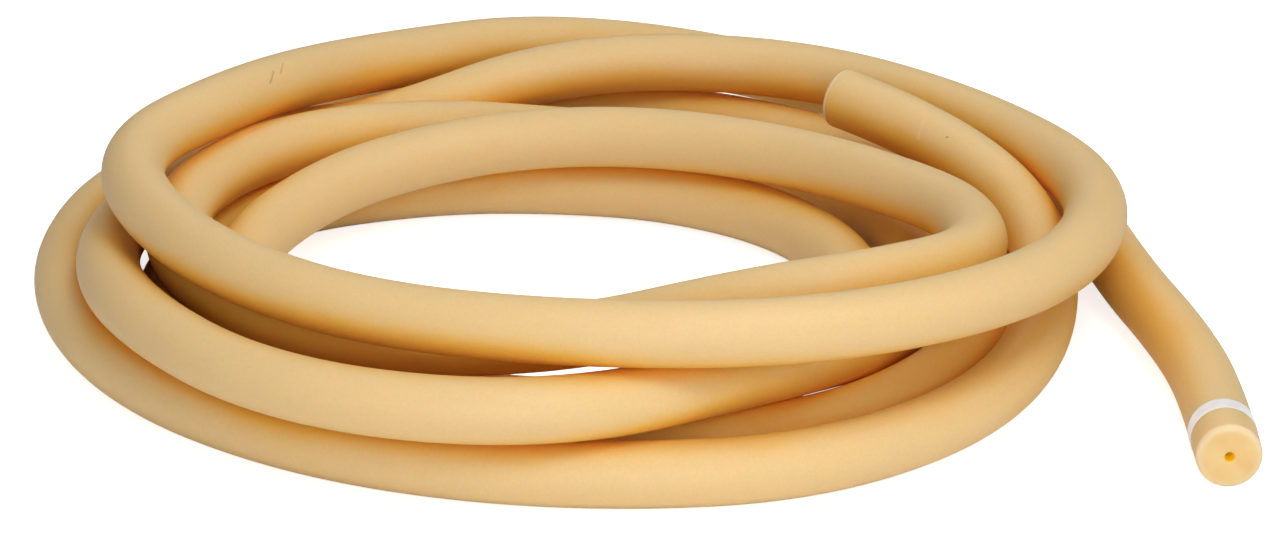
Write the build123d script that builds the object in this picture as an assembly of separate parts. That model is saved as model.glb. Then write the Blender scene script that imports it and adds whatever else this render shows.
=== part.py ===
from build123d import *
import math
import os

# Coil of thick-walled natural rubber tubing, lying loose on a flat surface, with a white
# marking band near one cut end. Millimetres, +Z up. The origin is at the middle of the
# coil's outline, on the surface that it lies on.

# Driving dimensions of the tube
TUBE_DIAMETER = 16.0
BORE_DIAMETER = 2.5
CUT_EDGE_RADIUS = 1.4
BORE_EDGE_RADIUS = 0.3

# Two turns of the tube that lie against each other keep this much between their walls
LAY_GAP = 0.3

# Driving dimensions of the marking band, a turn of thin tape
BAND_WIDTH = 5.4
BAND_THICKNESS = 0.2
BAND_FROM_CUT = 12.2

# The route of the tube's middle, in lays: one lay is the distance between the middles of
# two turns that lie against each other. Heights are counted from a turn on the surface.
LAY = TUBE_DIAMETER + LAY_GAP
COIL_CENTRE = (-1.0, -0.64)

# The free end, from its cut face to where it joins the coil: x, y. Its first run, which
# carries the band, rests on the band and not on the surface.
TAIL = [(9.83, -6.9), (9.86, -4.65), (9.56, -2.45)]
BANDED_POINTS = 2

# One list for each turn of the coil, anticlockwise from above, starting on the +X side:
# angle in degrees, distance from the coil's centre, height
TURNS = [
    # from the free end along the surface, then up over the left side and across the front
    [(0, 8.68, 0), (30, 9.05, 0), (60, 9.3, 0.05), (90, 9.0, 0.65),
     (120, 6.85, 1.3), (150, 5.86, 1.9), (180, 6.72, 2.0), (210, 6.47, 1.95),
     (240, 6.53, 1.92), (270, 7.0, 2.05), (300, 8.05, 2.07), (330, 8.48, 1.75)],
    # round the right side, along the back, under the first turn and over the lower left
    [(0, 8.4, 1.35), (30, 7.92, 1.02), (60, 7.65, 1.02), (90, 6.78, 1.02),
     (120, 6.1, 0.48), (150, 6.65, 0.45), (180, 6.96, 0.78), (210, 7.42, 1.06),
     (240, 7.83, 1.04), (270, 7.72, 1.05), (300, 6.74, 1.06), (330, 5.9, 0.26)],
    # on the surface at the right, up on the inner turns at the left, then a tight bend
    [(0, 5.6, 0), (30, 5.75, 0), (60, 5.8, 0), (90, 5.82, 0.05),
     (120, 4.95, 0.8), (150, 5.58, 1.0), (180, 6.0, 1.03), (210, 6.05, 1.0),
     (240, 5.75, 1.05), (270, 4.98, 1.02), (300, 5.7, 1.67), (316, 6.75, 1.86),
     (332, 7.12, 1.65), (346, 6.6, 1.45)],
    # the innermost turn, down from the bend to the surface
    [(0, 5.83, 1.27), (30, 4.5, 1.03), (60, 3.7, 1.02), (90, 3.43, 0.98),
     (120, 3.57, 0.88), (150, 4.23, 0.65), (180, 5.0, 0.3), (210, 5.25, 0),
     (240, 5.05, 0), (270, 5.3, 0), (300, 5.25, 0), (330, 4.8, 0)],
    # on the surface, opening outwards
    [(0, 4.62, 0), (30, 4.18, 0), (60, 3.85, 0), (90, 3.76, 0),
     (120, 4.3, 0), (150, 5.3, 0), (180, 6.03, 0), (210, 6.38, 0),
     (240, 6.18, 0), (270, 6.4, 0), (300, 7.13, 0), (330, 7.07, 0)],
    # the widest turn, on the surface
    [(0, 6.65, 0), (30, 6.78, 0), (60, 7.0, 0), (90, 7.28, 0),
     (120, 7.55, 0), (150, 8.07, 0), (180, 7.8, 0), (210, 7.45, 0),
     (240, 7.2, 0), (270, 7.45, 0), (300, 8.15, 0), (330, 8.1, 0)],
    # the last stretch, up over the turns below it to the second cut end
    [(0, 7.58, 0.63), (24, 6.8, 1.2), (41, 6.18, 1.38)],
]

# Each bend takes this share of the shorter of its two runs
BEND_SHARE = 0.45

# An edge belongs to a cut face when its centre is this close to the route's end
RIM_TOLERANCE = 0.01


def place(x, y, height):
    """A point of the route, from lays to millimetres in the part's frame."""
    return Vector(
        (x + COIL_CENTRE[0]) * LAY,
        (y + COIL_CENTRE[1]) * LAY,
        TUBE_DIAMETER / 2 + height * LAY,
    )


def route_points():
    """The corner points of the route. A corner stands outside the curve that it bends, by
    the cosine of a quarter of the angle between the points beside it."""
    stations = [
        (360 * turn + angle, radius, height)
        for turn, row in enumerate(TURNS)
        for angle, radius, height in row
    ]
    first = stations[0][0]
    last = stations[-1][0]
    points = [place(x, y, 0) for x, y in TAIL]
    for point in points[:BANDED_POINTS]:
        point.Z += BAND_THICKNESS
    for i, (angle, radius, height) in enumerate(stations):
        before = stations[i - 1][0] if angle > first else first - stations[1][0]
        after = stations[i + 1][0] if angle < last else before
        corner = radius / math.cos(math.radians(after - before) / 4)
        turned = math.radians(angle)
        points.append(place(corner * math.cos(turned), corner * math.sin(turned), height))
    return points


def bend_radii(points):
    """The radius of the arc at each inner point."""
    radii = []
    for before, corner, after in zip(points, points[1:], points[2:]):
        arriving = corner - before
        leaving = after - corner
        turn = math.radians(arriving.get_angle(leaving))
        reach = BEND_SHARE * min(arriving.length, leaving.length)
        radii.append(reach / math.tan(turn / 2))
    return radii


def end_plane(point, inwards):
    """The plane of a cut face, with its normal pointing into the tube."""
    return Plane(origin=point, z_dir=inwards)


def ring(plane, outer, inner):
    """A flat ring on a plane."""
    return plane * (Circle(outer / 2) - Circle(inner / 2))


def rims(tube, cut):
    """The round edges of the cut face at a point, the smallest first."""
    circles = tube.edges().filter_by(GeomType.CIRCLE)
    here = [edge for edge in circles if (edge.arc_center - cut).length < RIM_TOLERANCE]
    return sorted(here, key=lambda edge: edge.radius)


def make_tube(points, path):
    """The tube: a ring section swept along the route, with its cut edges eased."""
    start = end_plane(points[0], points[1] - points[0])
    tube = sweep(ring(start, TUBE_DIAMETER, BORE_DIAMETER), path=path)
    for cut in (points[0], points[-1]):
        tube = fillet(rims(tube, cut)[-1], CUT_EDGE_RADIUS)
        tube = fillet(rims(tube, cut)[0], BORE_EDGE_RADIUS)
    return tube


def make_band(points):
    """The marking band, seated on the straight stretch behind the first cut face."""
    inwards = (points[1] - points[0]).normalized()
    near_side = end_plane(points[0] + inwards * BAND_FROM_CUT, inwards)
    section = ring(near_side, TUBE_DIAMETER + 2 * BAND_THICKNESS, TUBE_DIAMETER)
    return extrude(section, BAND_WIDTH)


points = route_points()
radii = bend_radii(points)
path = FilletPolyline(*points, radius=radii)
tube = make_tube(points, path)
band = make_band(points)

os.makedirs("parts", exist_ok=True)
export_step(tube, "parts/rubber_tube.step")
export_step(band, "parts/marking_band.step")

wall_area = math.pi / 4 * (TUBE_DIAMETER ** 2 - BORE_DIAMETER ** 2)
print("bend radii, in tube diameters:", [round(r / TUBE_DIAMETER, 1) for r in sorted(radii)])
print("length of the tube, mm:", round(path.length, 1))
print("volume, against section times length:", round(tube.volume / (wall_area * path.length), 5))
print("band ends, mm from the cut:", round(BAND_FROM_CUT + BAND_WIDTH, 1))
box = tube.bounding_box()
print("outline:", [round(v, 2) for v in (*box.min, *box.max)])
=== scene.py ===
import bpy
import math
import numpy as np
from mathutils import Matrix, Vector


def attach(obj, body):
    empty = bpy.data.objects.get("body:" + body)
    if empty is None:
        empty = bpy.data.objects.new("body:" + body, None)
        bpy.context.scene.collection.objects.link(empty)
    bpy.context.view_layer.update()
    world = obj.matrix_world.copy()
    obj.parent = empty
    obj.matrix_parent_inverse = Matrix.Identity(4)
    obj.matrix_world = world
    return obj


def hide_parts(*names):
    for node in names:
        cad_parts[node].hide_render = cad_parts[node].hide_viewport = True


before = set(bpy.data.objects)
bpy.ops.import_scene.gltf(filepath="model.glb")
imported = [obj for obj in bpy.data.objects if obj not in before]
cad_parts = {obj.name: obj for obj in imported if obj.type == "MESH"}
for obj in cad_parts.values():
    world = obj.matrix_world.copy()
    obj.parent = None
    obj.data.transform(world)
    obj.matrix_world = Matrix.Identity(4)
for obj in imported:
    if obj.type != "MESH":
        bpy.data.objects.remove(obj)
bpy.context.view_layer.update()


# The rubber tubing: one length of natural gum rubber, extruded with a thick wall round a
# small bore, wound loosely by hand and laid down. Nothing holds it: its own weight and the
# grip of rubber on rubber keep the turns where they lie. Both ends were cut square.

MM = 0.001
TUBE_DIAMETER = 16.0 * MM
BORE_DIAMETER = 2.5 * MM
LAY = TUBE_DIAMETER + 0.3 * MM
COIL_CENTRE = (-1.0, -0.64)
CUT_EDGE = 1.4 * MM
MOUTH_EDGE = 0.3 * MM

# The free end, from its cut face to where it joins the coil: x, y, in lays. One lay is the
# distance between the middles of two turns that lie against each other. The first run
# carries the marking band, and rests on the band and not on the floor.
TAIL = [(9.84, -7.0), (9.83, -4.65), (9.52, -2.45)]
BANDED_POINTS = 2
BAND_THICKNESS = 0.2 * MM

# One list for each turn, anticlockwise from above, starting on the +X side: angle in
# degrees, distance from the coil's centre and height over a turn on the floor, in lays.
# They follow the photo, and differ from the solid's by a quarter of a lay at most.
TURNS = [
    [(0, 8.6, 0), (30, 9.12, 0), (60, 9.4, 0.05), (90, 9.0, 0.65),
     (120, 6.82, 1.29), (150, 5.86, 1.9), (180, 6.72, 2.0), (210, 6.47, 1.95),
     (240, 6.53, 1.92), (270, 7.0, 2.05), (300, 8.05, 2.07), (330, 8.48, 1.75)],
    [(0, 8.4, 1.35), (30, 7.92, 1.02), (60, 7.65, 1.02), (90, 6.78, 1.02),
     (120, 6.08, 0.4), (136, 6.45, 0.56), (150, 6.72, 0.5), (180, 6.92, 0.68),
     (210, 7.4, 1.08), (240, 7.83, 1.04), (270, 7.72, 1.05), (300, 6.74, 1.06),
     (330, 5.9, 0.26)],
    [(0, 5.6, 0), (30, 5.75, 0), (60, 5.8, 0), (90, 5.82, 0.05),
     (120, 4.95, 0.8), (150, 5.58, 1.0), (180, 6.0, 1.03), (210, 6.05, 1.0),
     (240, 5.75, 1.05), (270, 4.98, 1.02), (300, 5.7, 1.67), (316, 6.75, 1.86),
     (332, 7.12, 1.65), (346, 6.6, 1.45)],
    [(0, 5.83, 1.27), (30, 4.5, 1.03), (60, 3.7, 1.02), (90, 3.43, 0.98),
     (120, 3.57, 0.88), (150, 4.23, 0.65), (180, 5.0, 0.3), (210, 5.25, 0),
     (240, 5.05, 0), (270, 5.3, 0), (300, 5.31, 0), (330, 4.87, 0)],
    [(0, 4.62, 0), (30, 4.18, 0), (60, 3.85, 0), (90, 3.76, 0),
     (120, 4.3, 0), (150, 5.42, 0), (180, 6.1, 0), (210, 6.38, 0),
     (240, 6.18, 0), (270, 6.4, 0), (300, 7.13, 0), (330, 7.04, 0)],
    [(0, 6.62, 0), (30, 6.94, 0), (60, 7.24, 0), (90, 7.36, 0),
     (120, 7.68, 0), (150, 8.12, 0), (180, 7.8, 0), (210, 7.49, 0),
     (240, 7.3, 0), (270, 7.45, 0), (300, 8.15, 0), (330, 8.08, 0)],
    [(0, 7.58, 0.63), (24, 6.8, 1.22), (42.4, 6.15, 1.44)],
]


def route_points():
    """The route's control points in metres. A point of a turn stands outside the curve, by
    the cosine of a quarter of the angle between the points beside it."""
    tail = np.array([(x, y, 0.0) for x, y in TAIL])
    turn, radius, height = np.array(
        [(360 * i + angle, r, h) for i, row in enumerate(TURNS) for angle, r, h in row]
    ).T
    before = np.concatenate(([turn[0] - turn[1]], turn[:-1]))
    after = np.concatenate((turn[1:], turn[-2:-1]))
    corner = radius / np.cos(np.radians(after - before) / 4)
    angle = np.radians(turn)
    coil = np.stack((corner * np.cos(angle), corner * np.sin(angle), height), axis=1)
    lays = np.concatenate((tail, coil)) + (*COIL_CENTRE, 0)
    points = lays * LAY + (0, 0, TUBE_DIAMETER / 2)
    points[:BANDED_POINTS, 2] += BAND_THICKNESS
    return points


# The line through the route is made of parabolas, each in this many steps
SPLINE_ORDER = 3
SPLINE_STEPS = 40


def smooth_line(points, name):
    """Points along the smooth NURBS spline that has the route's points as its controls."""
    curve = bpy.data.curves.new(name, "CURVE")
    curve.dimensions = "3D"
    spline = curve.splines.new("NURBS")
    spline.points.add(len(points) - 1)
    spline.points.foreach_set("co", np.c_[points, np.ones(len(points))].ravel())
    spline.order_u = SPLINE_ORDER
    spline.use_endpoint_u = True
    spline.resolution_u = SPLINE_STEPS
    holder = bpy.data.objects.new(name, curve)
    mesh = bpy.data.meshes.new_from_object(holder)
    line = np.empty(len(mesh.vertices) * 3)
    mesh.vertices.foreach_get("co", line)
    bpy.data.objects.remove(holder)
    bpy.data.curves.remove(curve)
    bpy.data.meshes.remove(mesh)
    return line.reshape(-1, 3)


class Route:
    """A smooth line, read by the distance along it from its first point."""

    def __init__(self, line):
        step = np.linalg.norm(np.diff(line, axis=0), axis=1)
        self.line = line
        self.along = np.concatenate(([0], np.cumsum(step)))
        self.length = self.along[-1]
        self.heading = np.gradient(line, self.along, axis=0)

    def read(self, values, at):
        """Values given at the line's points, read at distances along it."""
        return np.stack([np.interp(at, self.along, column) for column in values.T], axis=1)

    def frame(self, at):
        """Middle, heading, level sideways direction and upward direction at distances."""
        at = np.asarray(at, float)
        heading = self.read(self.heading, at)
        heading /= np.linalg.norm(heading, axis=1, keepdims=True)
        side = np.cross(heading, (0, 0, 1))
        side /= np.linalg.norm(side, axis=1, keepdims=True)
        return self.read(self.line, at), heading, side, np.cross(side, heading)


def carried_profile(route, at, radius, around):
    """A round skin along the route: row i is a circle of radius[i] about the route's middle
    at distance at[i]. Also gives each point's place on the tube laid out straight: distance
    along, sideways from the middle, and up from it."""
    middle, _, side, up = route.frame(at)
    turn = np.linspace(0, 2 * math.pi, around, endpoint=False)
    across = radius[:, None] * np.cos(turn)
    rise = radius[:, None] * np.sin(turn)
    points = (
        middle[:, None, :]
        + across[:, :, None] * side[:, None, :]
        + rise[:, :, None] * up[:, None, :]
    )
    along = np.broadcast_to(np.asarray(at, float)[:, None], across.shape)
    return points.reshape(-1, 3), np.stack((along, across, rise), axis=2).reshape(-1, 3)


def closed_skin(name, points, straight, rows, around, slots):
    """A mesh from a grid that closes round both ways, with a material slot for each row of
    faces and the straight places as an attribute."""
    row = np.arange(rows)[:, None]
    column = np.arange(around)[None, :]
    next_row = (row + 1) % rows
    next_column = (column + 1) % around
    quads = np.stack(
        (
            row * around + column,
            next_row * around + column,
            next_row * around + next_column,
            row * around + next_column,
        ),
        axis=2,
    ).reshape(-1, 4)
    mesh = bpy.data.meshes.new(name)
    mesh.from_pydata(points, [], quads.tolist())
    mesh.polygons.foreach_set("use_smooth", np.ones(len(quads), bool))
    mesh.polygons.foreach_set("material_index", np.repeat(slots, around).astype(np.int32))
    laid = mesh.attributes.new("laid_straight", "FLOAT_VECTOR", "POINT")
    laid.data.foreach_set("vector", straight.astype(np.float32).ravel())
    mesh.update()
    piece = bpy.data.objects.new(name, mesh)
    bpy.context.scene.collection.objects.link(piece)
    return piece


def quarter_round(steps):
    """Sines and cosines that round a corner from one wall to the other."""
    turn = np.linspace(0, math.pi / 2, steps)
    return np.sin(turn), np.cos(turn)


# The knife leaves the face a little hollow. Rings of points over the bore's mouth, the face
# and the outer edge
FACE_HOLLOW = 0.12 * MM
MOUTH_RINGS = 4
FACE_RINGS = 8
EDGE_RINGS = 8


def cut_end():
    """One cut end, from the bore's mouth over the face to the outer wall: distances from
    the cut, and radii."""
    bore = BORE_DIAMETER / 2
    wall = TUBE_DIAMETER / 2
    into, out = quarter_round(MOUTH_RINGS)
    mouth = (MOUTH_EDGE * (1 - into), bore + MOUTH_EDGE * (1 - out))
    face_radius = np.linspace(bore + MOUTH_EDGE, wall - CUT_EDGE, FACE_RINGS)[1:-1]
    hollow = FACE_HOLLOW * np.sin(np.linspace(0, math.pi, FACE_RINGS))[1:-1]
    edge_in, edge_out = quarter_round(EDGE_RINGS)
    edge = (CUT_EDGE * (1 - edge_out), wall - CUT_EDGE * (1 - edge_in))
    return (
        np.concatenate((mouth[0], hollow, edge[0])),
        np.concatenate((mouth[1], face_radius, edge[1])),
    )


# The extruder's slow breathing, under a tenth of a millimetre, as two waves along the tube:
# how high each is, how far it takes to turn by one radian, and where it starts, in radians
WALL_WAVES = [(0.04 * MM, 61 * MM, 0.0), (0.03 * MM, 23 * MM, 1.0)]


def uneven_wall(at):
    """How far the wall stands out at distances along the tube: the sum of the waves."""
    return sum(height * np.sin(at / reach + start) for height, reach, start in WALL_WAVES)


RUBBER_SLOT, CUT_SLOT, BORE_SLOT = 0, 1, 2

# Points round the tube, distances between its rings on the outer wall and in the bore, and
# the distances of the bore's first rings from each cut
AROUND = 40
WALL_STEP = 2.8 * MM
BORE_STEP = 11 * MM
BORE_START = 4 * MM
BORE_NEAR_CUT = np.array([2.5, 1.2]) * MM


def make_tubing(route):
    """Bore mouth, cut face, outer wall, cut face and the bore back again, as one skin."""
    depth, cut_radius = cut_end()
    wall = TUBE_DIAMETER / 2
    last_wall = route.length - CUT_EDGE - WALL_STEP / 2
    outer = np.arange(CUT_EDGE + WALL_STEP, last_wall, WALL_STEP)
    bore = np.arange(route.length - BORE_START, BORE_START, -BORE_STEP)
    at = np.concatenate(
        (
            depth,
            outer,
            route.length - depth[::-1],
            route.length - BORE_NEAR_CUT[::-1],
            bore,
            BORE_NEAR_CUT,
        )
    )
    radius = np.concatenate(
        (
            cut_radius,
            wall + uneven_wall(outer),
            cut_radius[::-1],
            np.full(len(bore) + 2 * len(BORE_NEAR_CUT), BORE_DIAMETER / 2),
        )
    )
    slots = np.concatenate(
        (
            np.full(len(depth) - 1, CUT_SLOT),
            np.full(len(outer) + 1, RUBBER_SLOT),
            np.full(len(depth) - 1, CUT_SLOT),
            np.full(len(bore) + 2 * len(BORE_NEAR_CUT) + 1, BORE_SLOT),
        )
    )
    points, straight = carried_profile(route, at, radius, AROUND)
    return closed_skin("rubber_tubing", points, straight, len(at), AROUND, slots)


def linear(code):
    """A colour as it is seen, given as a hex code, turned by the sRGB curve to the linear
    light that it stands for."""
    parts = np.array([int(code[i : i + 2], 16) for i in (0, 2, 4)]) / 255
    light = np.where(parts <= 0.04045, parts / 12.92, ((parts + 0.055) / 1.055) ** 2.4)
    return (*light.tolist(), 1.0)


def add(tree, kind, settings=None, **inputs):
    """One node: its settings, then each input, as a value or another node's output. An
    input is named by its label, or as i and its number where labels repeat."""
    node = tree.nodes.new("ShaderNode" + kind)
    for name, value in (settings or {}).items():
        setattr(node, name, value)
    for name, value in inputs.items():
        key = int(name[1:]) if name[0] == "i" and name[1:].isdigit() else name.replace("_", " ")
        socket = node.inputs[key]
        if isinstance(value, bpy.types.NodeSocket):
            tree.links.new(value, socket)
        else:
            socket.default_value = value
    return node


def new_material(name):
    """A new material and its empty node tree."""
    material = bpy.data.materials.new(name)
    material.use_nodes = True
    material.node_tree.nodes.clear()
    return material, material.node_tree


# The painted shade deepens the rubber's colour where another turn lies this near
PAINTED_SHADE_REACH = 45 * MM

# The rubber's pattern sizes: clouds in its tone, lines that the die left, and grain. The lines
# are drawn out along the tube by this share
CLOUD_SIZE = 38 * MM
DIE_LINE = 1.6 * MM
GRAIN_SIZE = 0.8 * MM
LINE_STRETCH = 0.06

# How far red light goes in the rubber before it comes out again
RUBBER_DEPTH = 5.5 * MM
CUT_DEPTH = 4.0 * MM

# How far in from its mouth the bore's painted glow reaches
GLOW_REACH = 3 * BORE_DIAMETER

# Marks of handling: where each starts and ends on the straightened tube (distance along,
# across, rise) and its width, in millimetres, then its colour and how strongly it shows
MARKS = [
    ((472.0, -5.1, 6.2), (476.1, -6.9, 4.2), 1.0, "96682F", 0.5),
    ((465.8, -3.9, 7.0), (469.8, -5.9, 5.5), 0.9, "A0743A", 0.4),
    ((4134.4, -4.9, 6.2), (4134.6, -5.0, 6.1), 0.9, "7A4A1C", 0.75),
    ((4144.2, -4.5, 6.5), (4142.9, -7.4, 2.8), 1.5, "FBE6BE", 0.3),
]


def mark_cover(tree, laid, start, end, width):
    """How much of a mark covers each point: all on its line, and nothing at its width."""
    begin = Vector(start) * MM
    run = Vector(end) * MM - begin
    offset = add(tree, "VectorMath", {"operation": "SUBTRACT"}, i0=laid, i1=begin)
    reach = add(
        tree, "VectorMath", {"operation": "DOT_PRODUCT"}, i0=offset.outputs[0], i1=run
    )
    share = add(
        tree, "Math", {"operation": "DIVIDE", "use_clamp": True},
        i0=reach.outputs["Value"], i1=run.dot(run),
    )
    nearest = add(
        tree, "VectorMath", {"operation": "SCALE"}, i0=run, i3=share.outputs["Value"]
    )
    gap = add(
        tree, "VectorMath", {"operation": "DISTANCE"},
        i0=offset.outputs[0], i1=nearest.outputs[0],
    )
    return add(
        tree, "MapRange", {"interpolation_type": "SMOOTHSTEP"}, Value=gap.outputs["Value"],
        From_Max=width / 2 * MM, To_Min=1.0, To_Max=0.0,
    ).outputs["Result"]


def marked(tree, laid, colour):
    """The colour with every mark of handling laid over it."""
    for start, end, width, code, strength in MARKS:
        cover = mark_cover(tree, laid, start, end, width)
        share = add(tree, "Math", {"operation": "MULTIPLY"}, i0=cover, i1=strength)
        colour = add(
            tree, "Mix", {"data_type": "RGBA"},
            i0=share.outputs["Value"], i6=colour, i7=linear(code),
        ).outputs[2]
    return colour


def gum_rubber():
    """Extruded natural gum rubber, with a satin skin, faint die lines and a fine grain. Its
    colour is painted pale in the open and deep amber between turns and on the underside, as
    painted shade, and light that enters it comes out warmer, which is what tells the eye that
    it is rubber."""
    material, tree = new_material("natural gum rubber, extruded")
    laid = add(tree, "Attribute", {"attribute_name": "laid_straight"}).outputs["Vector"]
    cloud = add(
        tree, "TexNoise", Vector=laid, Scale=1 / CLOUD_SIZE, Detail=3.0, Roughness=0.55
    )
    # The rubber is painted deeper amber, as painted shade, where other turns lie near and most
    # of all on the underside, and a little in patches that hands have rubbed
    shade_openness = add(
        tree, "AmbientOcclusion", {"samples": 4, "only_local": True}, Distance=PAINTED_SHADE_REACH
    )
    facing = add(tree, "SeparateXYZ", Vector=add(tree, "NewGeometry").outputs["Normal"])
    underside_shade_weight = add(
        tree, "MapRange", {"interpolation_type": "SMOOTHSTEP"}, Value=facing.outputs["Z"],
        From_Min=-0.5, From_Max=0.4, To_Min=1.15, To_Max=0.55,
    )
    crevice_shade = add(tree, "Math", {"operation": "SUBTRACT"}, i0=1.0, i1=shade_openness.outputs["AO"])
    rubbed = add(
        tree, "MapRange", Value=cloud.outputs["Fac"],
        From_Min=0.42, From_Max=0.72, To_Max=0.1,
    )
    shade_and_rubbed = add(
        tree, "Math", {"operation": "MULTIPLY_ADD", "use_clamp": True},
        i0=crevice_shade.outputs["Value"], i1=underside_shade_weight.outputs["Result"],
        i2=rubbed.outputs["Result"],
    )
    # The ramp paints the colour from pale amber in the open to deep amber in crevices and on
    # the underside: painted shade
    tones = add(tree, "ValToRGB", Fac=shade_and_rubbed.outputs["Value"])
    tones.color_ramp.interpolation = "EASE"
    tones.color_ramp.elements[0].position = 0.06
    tones.color_ramp.elements[0].color = linear("F4D092")
    tones.color_ramp.elements[1].position = 1.0
    tones.color_ramp.elements[1].color = linear("D48E34")
    tones.color_ramp.elements.new(0.36).color = linear("F3BC4C")
    tones.color_ramp.elements.new(0.7).color = linear("ECAA3E")
    stretched = add(
        tree, "VectorMath", {"operation": "MULTIPLY"}, i0=laid, i1=(LINE_STRETCH, 1, 1)
    )
    die = add(
        tree, "TexNoise", Vector=stretched.outputs[0], Scale=1 / DIE_LINE, Detail=2.0
    )
    grain = add(tree, "TexNoise", Vector=laid, Scale=1 / GRAIN_SIZE, Detail=2.0)
    uneven = add(
        tree, "Math", {"operation": "MULTIPLY_ADD"},
        i0=cloud.outputs["Fac"], i1=0.5, i2=grain.outputs["Fac"],
    )
    shade = add(
        tree, "MapRange", Value=uneven.outputs["Value"],
        From_Max=1.5, To_Min=0.9, To_Max=1.04,
    )
    speckled = add(
        tree, "Mix", {"data_type": "RGBA", "blend_type": "MULTIPLY"},
        i0=1.0, i6=tones.outputs["Color"], i7=shade.outputs["Result"],
    )
    dull = add(tree, "MapRange", Value=cloud.outputs["Fac"], To_Min=0.46, To_Max=0.58)
    relief = add(
        tree, "Math", {"operation": "MULTIPLY_ADD"},
        i0=die.outputs["Fac"], i1=0.6, i2=grain.outputs["Fac"],
    )
    bump = add(
        tree, "Bump", Strength=0.12, Distance=0.1 * MM, Height=relief.outputs["Value"]
    )
    skin = add(
        tree,
        "BsdfPrincipled",
        {"subsurface_method": "BURLEY"},
        Base_Color=marked(tree, laid, speckled.outputs[2]),
        Roughness=dull.outputs["Result"],
        IOR=1.52,
        Normal=bump.outputs["Normal"],
        Subsurface_Weight=0.85,
        Subsurface_Radius=(1.0, 0.4, 0.1),
        Subsurface_Scale=RUBBER_DEPTH,
    )
    add(tree, "OutputMaterial", Surface=skin.outputs["BSDF"])
    return material


def cut_rubber():
    """The same rubber where a knife went through: no die lines and no painted shade, so it
    looks smooth and even, and paler at the rounded rim, as a painted highlight where it catches
    the light."""
    material, tree = new_material("natural gum rubber, freshly cut")
    laid = add(tree, "Attribute", {"attribute_name": "laid_straight"}).outputs["Vector"]
    cloud = add(tree, "TexNoise", Vector=laid, Scale=1 / (7 * MM), Detail=3.0)
    tones = add(tree, "ValToRGB", Fac=cloud.outputs["Fac"])
    tones.color_ramp.elements[0].position = 0.35
    tones.color_ramp.elements[0].color = linear("F2CC86")
    tones.color_ramp.elements[1].position = 0.65
    tones.color_ramp.elements[1].color = linear("F8D695")
    across = add(tree, "VectorMath", {"operation": "MULTIPLY"}, i0=laid, i1=(0, 1, 1))
    radius = add(tree, "VectorMath", {"operation": "LENGTH"}, i0=across.outputs[0])
    # The rim is painted paler towards the outer edge: a painted highlight
    rim = add(
        tree, "MapRange", {"interpolation_type": "SMOOTHSTEP"}, Value=radius.outputs["Value"],
        From_Min=5.6 * MM, From_Max=7.9 * MM,
    )
    painted_rim_highlight = add(
        tree, "Mix", {"data_type": "RGBA"},
        i0=rim.outputs["Result"], i6=tones.outputs["Color"], i7=linear("FADDB4"),
    )
    skin = add(
        tree,
        "BsdfPrincipled",
        Base_Color=painted_rim_highlight.outputs[2],
        Roughness=0.5,
        IOR=1.52,
        Subsurface_Weight=0.5,
        Subsurface_Radius=(1.0, 0.5, 0.15),
        Subsurface_Scale=CUT_DEPTH,
    )
    add(tree, "OutputMaterial", Surface=skin.outputs["BSDF"])
    return material


def bore_rubber():
    """The bore's wall, glossy from the die's mandrel. Light reaches it through the rubber, so
    its mouth is painted with a deep amber glow, which fades inwards."""
    material, tree = new_material("natural gum rubber, bore wall")
    laid = add(tree, "Attribute", {"attribute_name": "laid_straight"}).outputs["Vector"]
    cloud = add(tree, "TexNoise", Vector=laid, Scale=1 / (3 * MM), Detail=2.0)
    tones = add(tree, "ValToRGB", Fac=cloud.outputs["Fac"])
    tones.color_ramp.elements[0].color = linear("A87A18")
    tones.color_ramp.elements[1].color = linear("B88A22")
    depth = add(tree, "SeparateXYZ", Vector=laid)
    # The mouth's glow is painted on as emission, strongest at the cut
    glow = add(
        tree, "MapRange", Value=depth.outputs["X"],
        From_Max=GLOW_REACH, To_Min=0.75, To_Max=0.02,
    )
    skin = add(
        tree,
        "BsdfPrincipled",
        Base_Color=tones.outputs["Color"],
        Roughness=0.35,
        IOR=1.52,
        Emission_Color=linear("F2B40C"),
        Emission_Strength=glow.outputs["Result"],
    )
    add(tree, "OutputMaterial", Surface=skin.outputs["BSDF"])
    return material


controls = route_points()
route = Route(smooth_line(controls, "tubing_route"))
tubing = make_tubing(route)
for finish in (gum_rubber(), cut_rubber(), bore_rubber()):
    tubing.data.materials.append(finish)
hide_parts("rubber_tube")
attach(tubing, "root")


# The marking band: one turn of thin white marking tape, stuck round the tube a finger's
# width behind one cut end, to tell that end from the other. It is matt and a little uneven,
# because it follows the die lines under it.

BAND_WIDTH = 5.0 * MM
BAND_FROM_CUT = 11.0 * MM
BAND_EDGE = 0.12 * MM
BAND_SUNK = 0.05 * MM

# Points round the band, and its rings over each edge and over its width
BAND_AROUND = 96
BAND_EDGE_RINGS = 4
BAND_WIDTH_RINGS = 8


def make_band(route):
    """A flat ring with rounded edges, carried along the tube."""
    inner = TUBE_DIAMETER / 2 - BAND_SUNK
    outer = TUBE_DIAMETER / 2 + BAND_THICKNESS
    turn_in, turn_out = quarter_round(BAND_EDGE_RINGS)
    width = np.linspace(BAND_EDGE, BAND_WIDTH - BAND_EDGE, BAND_WIDTH_RINGS)[1:-1]
    offset = np.concatenate(
        (
            [0.0],
            BAND_EDGE * (1 - turn_out),
            width,
            BAND_WIDTH - BAND_EDGE * (1 - turn_out[::-1]),
            [BAND_WIDTH],
        )
    )
    radius = np.concatenate(
        (
            [inner],
            outer - BAND_EDGE * (1 - turn_in),
            np.full(len(width), outer),
            outer - BAND_EDGE * (1 - turn_in[::-1]),
            [inner],
        )
    )
    points, straight = carried_profile(route, BAND_FROM_CUT + offset, radius, BAND_AROUND)
    slots = np.zeros(len(offset))
    return closed_skin("tape_band", points, straight, len(offset), BAND_AROUND, slots)


SCUFF_SIZE = 2.2 * MM


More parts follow.
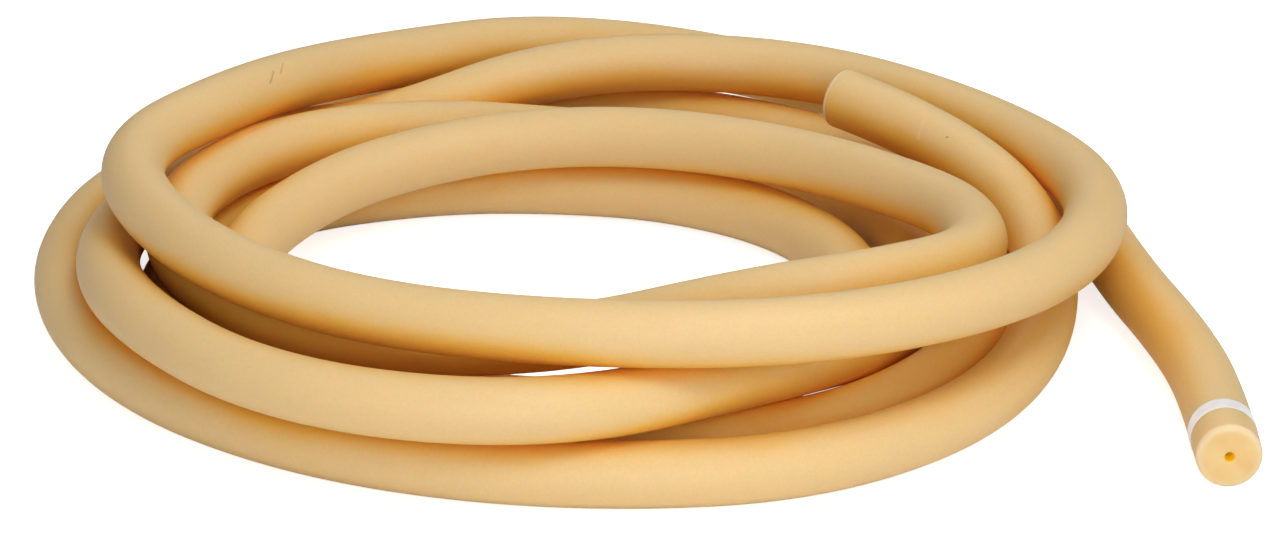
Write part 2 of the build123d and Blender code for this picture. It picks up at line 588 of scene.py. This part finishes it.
def marking_tape():
    """White vinyl marking tape: matt, with a soft sheen and faint grey scuffs, so that it
    looks handled and not painted on."""
    material, tree = new_material("white marking tape")
    laid = add(tree, "Attribute", {"attribute_name": "laid_straight"}).outputs["Vector"]
    scuff = add(
        tree, "TexNoise", Vector=laid, Scale=1 / SCUFF_SIZE, Detail=4.0, Roughness=0.6
    )
    tones = add(tree, "ValToRGB", Fac=scuff.outputs["Fac"])
    tones.color_ramp.elements[0].position = 0.36
    tones.color_ramp.elements[0].color = linear("F4EAEC")
    tones.color_ramp.elements[1].position = 0.6
    tones.color_ramp.elements[1].color = linear("FFFBFA")
    bump = add(tree, "Bump", Strength=0.2, Distance=0.1 * MM, Height=scuff.outputs["Fac"])
    skin = add(
        tree,
        "BsdfPrincipled",
        Base_Color=tones.outputs["Color"],
        Roughness=0.6,
        Sheen_Weight=1.0,
        Sheen_Roughness=0.6,
        Normal=bump.outputs["Normal"],
    )
    add(tree, "OutputMaterial", Surface=skin.outputs["BSDF"])
    return material


band = make_band(route)
band.data.materials.append(marking_tape())
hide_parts("marking_band")
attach(band, "root")


# The floor: a white paper sweep, wide enough that its edge is never seen.

FLOOR_WIDTH = 8.0


def make_floor():
    """A flat square under the coil."""
    half = FLOOR_WIDTH / 2
    corners = [(-half, -half, 0), (half, -half, 0), (half, half, 0), (-half, half, 0)]
    mesh = bpy.data.meshes.new("paper_floor")
    mesh.from_pydata(corners, [], [(0, 1, 2, 3)])
    floor = bpy.data.objects.new("paper_floor", mesh)
    bpy.context.scene.collection.objects.link(floor)
    return floor


# What the card adds to its own light where the camera looks straight at it
CARD_GLOW = 0.75


def white_paper():
    """Matt white card. It glows for the camera alone, so that it comes out as the even
    white of the photo and still throws no more light on the rubber than real card does."""
    material, tree = new_material("white card")
    seen = add(tree, "LightPath")
    glow = add(
        tree, "Math", {"operation": "MULTIPLY"},
        i0=seen.outputs["Is Camera Ray"], i1=CARD_GLOW,
    )
    skin = add(
        tree,
        "BsdfPrincipled",
        Base_Color=linear("F6F6F6"),
        Roughness=0.9,
        Emission_Color=(1, 1, 1, 1),
        Emission_Strength=glow.outputs["Value"],
    )
    add(tree, "OutputMaterial", Surface=skin.outputs["BSDF"])
    return material


floor = make_floor()
floor.data.materials.append(white_paper())


# The light: a white tent with soft panels, as small goods are lit on a white table. A key
# stands over the front at the right, a wide panel hangs overhead, a low card fills the near
# sides, and two weak panels at the right and behind lift the edges.

TENT_STRENGTH = 0.235


def light_tent():
    """An even white surround."""
    world = bpy.data.worlds.new("light tent")
    world.use_nodes = True
    backdrop = world.node_tree.nodes["Background"]
    backdrop.inputs["Color"].default_value = (1, 1, 1, 1)
    backdrop.inputs["Strength"].default_value = TENT_STRENGTH
    bpy.context.scene.world = world


def panel(name, place, aim, width, power):
    """A square soft panel at a place, facing its aim, in metres and watts."""
    light = bpy.data.lights.new(name, "AREA")
    light.shape = "SQUARE"
    light.size = width
    light.energy = power
    lamp = bpy.data.objects.new(name, light)
    lamp.location = place
    lamp.rotation_euler = (Vector(aim) - Vector(place)).to_track_quat("-Z", "Y").to_euler()
    bpy.context.scene.collection.objects.link(lamp)


light_tent()
panel("key", (0.3, -0.5, 1.0), (0, 0, 0), 0.4, 3.4)
panel("overhead", (0, 0, 1.1), (0, 0, 0), 1.0, 2.5)
panel("front card", (0, -1.2, 0.35), (0, 0, 0), 0.8, 5.0)
panel("right", (1.0, -0.2, 0.7), (0, 0, 0), 0.8, 1.4)
panel("back", (0, 0.9, 0.8), (0, 0, 0), 0.8, 1.2)


# The camera: a long lens that looks down at the table. Its aim, tilt and distance were
# worked out from the cut face and the widest turn. The focal length and the frame's width
# are in the photo's pixels, and the tilt is in degrees.

CAMERA_TILT = 22.5
CAMERA_DISTANCE = 79.0 * LAY
CAMERA_AIM = (0.28 * LAY, -0.69 * LAY, TUBE_DIAMETER / 2)
FRAME_WIDTH = 1280
LENS_PIXELS = 5000
SENSOR_WIDTH = 36.0
NEAREST_SEEN = 0.05
FARTHEST_SEEN = 20.0


def place_camera():
    """Looks along +Y and down by the tilt, at the aim."""
    lens = bpy.data.cameras.new("camera")
    lens.sensor_width = SENSOR_WIDTH
    lens.lens = SENSOR_WIDTH * LENS_PIXELS / FRAME_WIDTH
    lens.clip_start = NEAREST_SEEN
    lens.clip_end = FARTHEST_SEEN
    tilt = math.radians(CAMERA_TILT)
    back = Vector((0, -math.cos(tilt), math.sin(tilt))) * CAMERA_DISTANCE
    camera = bpy.data.objects.new("camera", lens)
    camera.location = Vector(CAMERA_AIM) + back
    camera.rotation_euler = (math.pi / 2 - tilt, 0, 0)
    bpy.context.scene.collection.objects.link(camera)
    bpy.context.scene.camera = camera


place_camera()
bpy.context.scene.view_settings.view_transform = "Standard"
